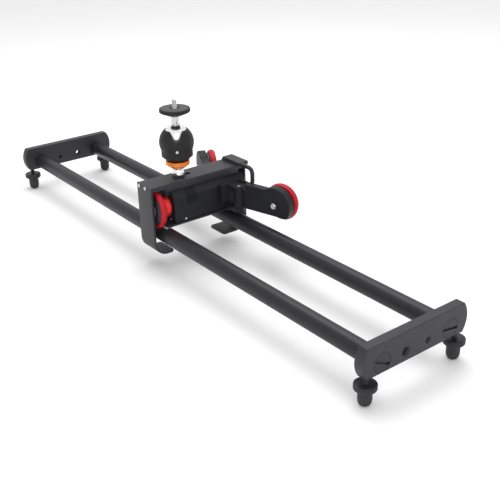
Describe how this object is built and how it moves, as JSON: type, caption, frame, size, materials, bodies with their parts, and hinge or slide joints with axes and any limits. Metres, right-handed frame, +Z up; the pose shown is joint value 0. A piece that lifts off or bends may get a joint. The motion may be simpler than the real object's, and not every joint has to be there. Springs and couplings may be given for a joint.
{
  "type": "camera slider",
  "caption": "Motorised camera slider: parallel black tubes between footed end plates, a hooked dolly with red tyres and folding wheel arms, and a ball head for a camera.",
  "frame": {"origin": "on the floor, midway between the four feet", "axes": "+X along the tubes towards the near end plate, +Y from the drive wheel towards the folding arms, +Z up"},
  "size_m": [0.813, 0.1874, 0.2223],
  "materials": {
    "anodised_black": "fine satin anodising",
    "tube_black": "satin anodising",
    "steel": "turned and polished",
    "screw_black": "black oxide",
    "foot_rubber": "matt",
    "shell_black": "satin moulded",
    "wheel_black": "satin moulded",
    "tyre_red": "satin",
    "drum_red": "satin",
    "disc_grey": "brushed",
    "ring_orange": "bright anodising",
    "head_black": "satin anodising",
    "ball_silver": "polished",
    "pad_rubber": "matt",
    "glide_plastic": "slippery",
    "washer_black": "matt",
    "board_green": "lacquered",
    "cell_wrap": "shrink wrap",
    "gear_white": "moulded"
  },
  "bodies": {
    "rails": {"end_plate_near": "anodised_black", "end_plate_far": "anodised_black", "rod_front": "tube_black", "rod_back": "tube_black", "rod_inserts": "steel", "end_screws": "screw_black"},
    "carriage": {"top_plate": "anodised_black", "near_hook": "anodised_black", "far_hook": "anodised_black", "hook_screws": "steel", "clamp_block": "anodised_black", "guard_loop": "screw_black", "lower_plate": "anodised_black", "glide_pads": "glide_plastic", "dolly_rail": "anodised_black", "front_cover": "shell_black", "rear_cover": "shell_black", "cover_screws": "steel", "gear_plate": "shell_black", "gear_motor": "steel", "battery": "cell_wrap", "circuit_board": "board_green", "shaft_bearings": "steel", "hinge_bracket_front": "shell_black", "hinge_bracket_rear": "shell_black", "hinge_pins": "steel", "head_washer": "washer_black", "head_base": "ball_silver"},
    "drive_wheel": {"drive_tyre": "tyre_red", "drive_hub": "wheel_black", "hub_disc": "disc_grey", "drive_drum": "drum_red", "drive_shaft": "steel", "drive_gear": "gear_white"},
    "motor_output": {"motor_pinion": "gear_white"},
    "front_arm": {"arm_front": "shell_black", "axle_front": "steel"},
    "rear_arm": {"arm_rear": "shell_black", "axle_rear": "steel"},
    "front_wheel": {"wheel_hub_front": "wheel_black", "wheel_tyre_front": "tyre_red"},
    "rear_wheel": {"wheel_hub_rear": "wheel_black", "wheel_tyre_rear": "tyre_red"},
    "head_cup": {"head_housing": "head_black", "head_set_screw": "steel"},
    "lock_ring": {"head_lock_ring": "ring_orange"},
    "ball": {"head_ball": "ball_silver", "camera_screw": "steel"},
    "platform": {"head_platform": "head_black", "platform_pad": "pad_rubber"},
    "switch": {"power_switch": "shell_black"},
    "button": {"speed_button": "shell_black"},
    "foot_near_front": {"foot_stud_near_front": "screw_black", "foot_tip_near_front": "foot_rubber"},
    "foot_near_back": {"foot_stud_near_back": "screw_black", "foot_tip_near_back": "foot_rubber"},
    "foot_far_front": {"foot_stud_far_front": "screw_black", "foot_tip_far_front": "foot_rubber"},
    "foot_far_back": {"foot_stud_far_back": "screw_black", "foot_tip_far_back": "foot_rubber"}
  },
  "joints": [
    {"name": "carriage_slide", "type": "slide", "parent": "rails", "child": "carriage", "axis": [1, 0, 0], "range_m": [-0.25, 0.27]},
    {"name": "drive_wheel_spin", "type": "hinge", "parent": "carriage", "child": "drive_wheel", "pos_m": [-0.01, -0.059, 0.0823], "axis": [0, 1, 0], "continuous": true},
    {"name": "motor_spin", "type": "hinge", "parent": "carriage", "child": "motor_output", "pos_m": [-0.019, -0.035, 0.09354], "axis": [0, 1, 0], "continuous": true},
    {"name": "front_arm_fold", "type": "hinge", "parent": "carriage", "child": "front_arm", "pos_m": [0.03, 0.051, 0.0823], "axis": [0, 0, 1], "range_deg": [-20, 7]},
    {"name": "rear_arm_fold", "type": "hinge", "parent": "carriage", "child": "rear_arm", "pos_m": [-0.05, 0.051, 0.0823], "axis": [0, 0, 1], "range_deg": [-35, 30]},
    {"name": "front_wheel_spin", "type": "hinge", "parent": "front_arm", "child": "front_wheel", "pos_m": [0.08131, 0.08359, 0.0823], "axis": [-0.2588, 0.9659, 0], "continuous": true},
    {"name": "rear_wheel_spin", "type": "hinge", "parent": "rear_arm", "child": "rear_wheel", "pos_m": [-0.09487, 0.09201, 0.0823], "axis": [0.4226, 0.9063, 0], "continuous": true},
    {"name": "head_pan", "type": "hinge", "parent": "carriage", "child": "head_cup", "pos_m": [-0.0135, -0.0164, 0.1403], "axis": [0, 0, 1], "continuous": true},
    {"name": "lock_ring_turn", "type": "hinge", "parent": "carriage", "child": "lock_ring", "pos_m": [-0.0135, -0.0164, 0.1343], "axis": [0, 0, 1], "range_deg": [-90, 90]},
    {"name": "ball_tilt", "type": "hinge", "parent": "head_cup", "child": "ball", "pos_m": [-0.0135, -0.0164, 0.1723], "axis": [0.5299, 0.848, 0], "range_deg": [-25, 75]},
    {"name": "platform_turn", "type": "hinge", "parent": "ball", "child": "platform", "pos_m": [-0.0135, -0.0164, 0.2073], "axis": [0, 0, 1], "continuous": true},
    {"name": "power_switch_slide", "type": "slide", "parent": "carriage", "child": "switch", "axis": [0, 1, 0], "range_m": [-0.002, 0.002]},
    {"name": "speed_button_press", "type": "slide", "parent": "carriage", "child": "button", "axis": [1, 0, 0], "range_m": [0, 0.001], "stiffness_N_per_m": 500, "springref_m": -0.0005},
    {"name": "foot_near_front_height", "type": "slide", "parent": "rails", "child": "foot_near_front", "axis": [0, 0, 1], "range_m": [-0.004, 0.006]},
    {"name": "foot_near_back_height", "type": "slide", "parent": "rails", "child": "foot_near_back", "axis": [0, 0, 1], "range_m": [-0.004, 0.006]},
    {"name": "foot_far_front_height", "type": "slide", "parent": "rails", "child": "foot_far_front", "axis": [0, 0, 1], "range_m": [-0.004, 0.006]},
    {"name": "foot_far_back_height", "type": "slide", "parent": "rails", "child": "foot_far_back", "axis": [0, 0, 1], "range_m": [-0.004, 0.006]}
  ],
  "couplings": [
    {"joint": "drive_wheel_spin", "follows": "carriage_slide", "rad_per_m": 37.313},
    {"joint": "motor_spin", "follows": "carriage_slide", "rad_per_m": -74.627}
  ]
}
